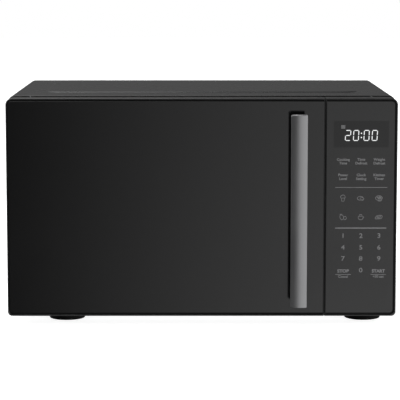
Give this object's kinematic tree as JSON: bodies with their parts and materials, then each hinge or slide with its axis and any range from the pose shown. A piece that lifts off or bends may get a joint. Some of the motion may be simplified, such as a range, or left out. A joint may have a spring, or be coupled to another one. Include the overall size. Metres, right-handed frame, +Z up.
{
  "type": "microwave oven",
  "caption": "Countertop microwave oven with a left-hinged glass door, vertical bar handle, touch control panel, glass turntable and sprung latch.",
  "frame": {"origin": "on the floor, under the middle of the overall box", "axes": "+X to the right seen from the front, +Y to the back, +Z up; the door faces -Y"},
  "size_m": [0.483, 0.386, 0.2853],
  "materials": {
    "case": "satin black coated steel",
    "zinc": "zinc plated sheet",
    "enamel": "speckled grey enamel",
    "frame": "black moulded plastic",
    "fascia": "gloss black, printed on the back",
    "screen": "black coated perforated sheet",
    "window_sheet": "clear",
    "handle": "satin grey",
    "tray_glass": "clear pressed glass",
    "pale": "natural heat resistant plastic",
    "mica": "mica sheet",
    "board": "green circuit board",
    "alloy": "cast and cut",
    "ferrite": "dark ferrite and winding",
    "switch": "matt",
    "plunger": "matt red",
    "bulb": "clear",
    "display": "dark display window",
    "rubber": "matt black"
  },
  "bodies": {
    "oven": {"outer_case": "case", "rear_panel": "case", "base_plate": "zinc", "front_plate": "enamel", "cavity_liner": "enamel", "waveguide": "zinc", "waveguide_cover": "mica", "magnetron": "alloy", "fan_shroud": "frame", "fan_motor": "zinc", "air_duct": "pale", "lamp_holder": "zinc", "cavity_lamp": "bulb", "turntable_motor": "zinc", "upper_hinge": "zinc", "lower_hinge": "zinc", "interlock_bracket": "frame", "primary_switch": "switch", "secondary_switch": "switch", "monitor_switch": "switch", "control_panel_frame": "frame", "control_panel_fascia": "fascia", "touch_key_film": "display", "display_module": "display", "control_board": "board", "inverter_tray": "frame", "inverter_board": "board", "inverter_heat_sink": "alloy", "inverter_transformer": "ferrite", "noise_filter_board": "board", "front_left_foot": "rubber", "front_right_foot": "rubber", "rear_left_foot": "rubber", "rear_right_foot": "rubber", "rear_screw_1": "zinc", "rear_screw_2": "zinc", "rear_screw_3": "zinc", "rear_screw_4": "zinc", "cord_grommet": "rubber"},
    "door": {"door_frame": "frame", "door_glass": "fascia", "choke_frame": "zinc", "window_screen": "screen", "inner_window": "window_sheet", "choke_cover": "frame", "handle_bar": "handle", "lower_handle_screw": "zinc", "upper_handle_screw": "zinc", "latch_spring": "zinc"},
    "latch_key": {"latch_key": "pale"},
    "turntable_coupler": {"turntable_coupler": "pale"},
    "glass_tray": {"glass_tray": "tray_glass"},
    "roller_ring": {"roller_ring": "pale"},
    "roller_1": {"roller_1": "pale"},
    "roller_2": {"roller_2": "pale"},
    "roller_3": {"roller_3": "pale"},
    "fan_blade": {"fan_blade": "pale"},
    "primary_plunger": {"primary_plunger": "plunger"},
    "secondary_plunger": {"secondary_plunger": "plunger"},
    "monitor_plunger": {"monitor_plunger": "plunger"}
  },
  "joints": [
    {"name": "door_swing", "type": "hinge", "parent": "oven", "child": "door", "pos_m": [-0.2325, -0.1325, 0.012], "axis": [0, 0, -1], "range_deg": [0, 95]},
    {"name": "latch_lift", "type": "slide", "parent": "door", "child": "latch_key", "axis": [0, 0, 1], "range_m": [0, 0.004], "stiffness_N_per_m": 600, "deforming": ["latch_spring"]},
    {"name": "turntable_spin", "type": "hinge", "parent": "oven", "child": "turntable_coupler", "pos_m": [-0.053, 0.0274, 0.038], "axis": [0, 0, 1], "continuous": true},
    {"name": "tray_lift", "type": "slide", "parent": "turntable_coupler", "child": "glass_tray", "axis": [0, 0, 1], "range_m": [0, 0.05]},
    {"name": "ring_spin", "type": "hinge", "parent": "oven", "child": "roller_ring", "pos_m": [-0.053, 0.0274, 0.0453], "axis": [0, 0, 1], "continuous": true},
    {"name": "roller_1_spin", "type": "hinge", "parent": "roller_ring", "child": "roller_1", "pos_m": [-0.053, 0.1254, 0.0453], "axis": [0, 1, 0], "continuous": true},
    {"name": "roller_2_spin", "type": "hinge", "parent": "roller_ring", "child": "roller_2", "pos_m": [-0.13787, -0.0216, 0.0453], "axis": [-0.866, -0.5, 0], "continuous": true},
    {"name": "roller_3_spin", "type": "hinge", "parent": "roller_ring", "child": "roller_3", "pos_m": [0.03187, -0.0216, 0.0453], "axis": [0.866, -0.5, 0], "continuous": true},
    {"name": "fan_spin", "type": "hinge", "parent": "oven", "child": "fan_blade", "pos_m": [0.17425, 0.17855, 0.184], "axis": [0, 1, 0], "continuous": true},
    {"name": "primary_press", "type": "slide", "parent": "oven", "child": "primary_plunger", "axis": [0, 0, -1], "range_m": [0, 0.0015], "stiffness_N_per_m": 300},
    {"name": "secondary_press", "type": "slide", "parent": "oven", "child": "secondary_plunger", "axis": [0, 0, -1], "range_m": [0, 0.0015], "stiffness_N_per_m": 300},
    {"name": "monitor_press", "type": "slide", "parent": "oven", "child": "monitor_plunger", "axis": [1, 0, 0], "range_m": [0, 0.0015], "stiffness_N_per_m": 300}
  ],
  "couplings": [
    {"joint": "ring_spin", "follows": "turntable_spin", "ratio": 0.5},
    {"joint": "roller_1_spin", "follows": "turntable_spin", "ratio": -7},
    {"joint": "roller_2_spin", "follows": "turntable_spin", "ratio": -7},
    {"joint": "roller_3_spin", "follows": "turntable_spin", "ratio": -7}
  ]
}
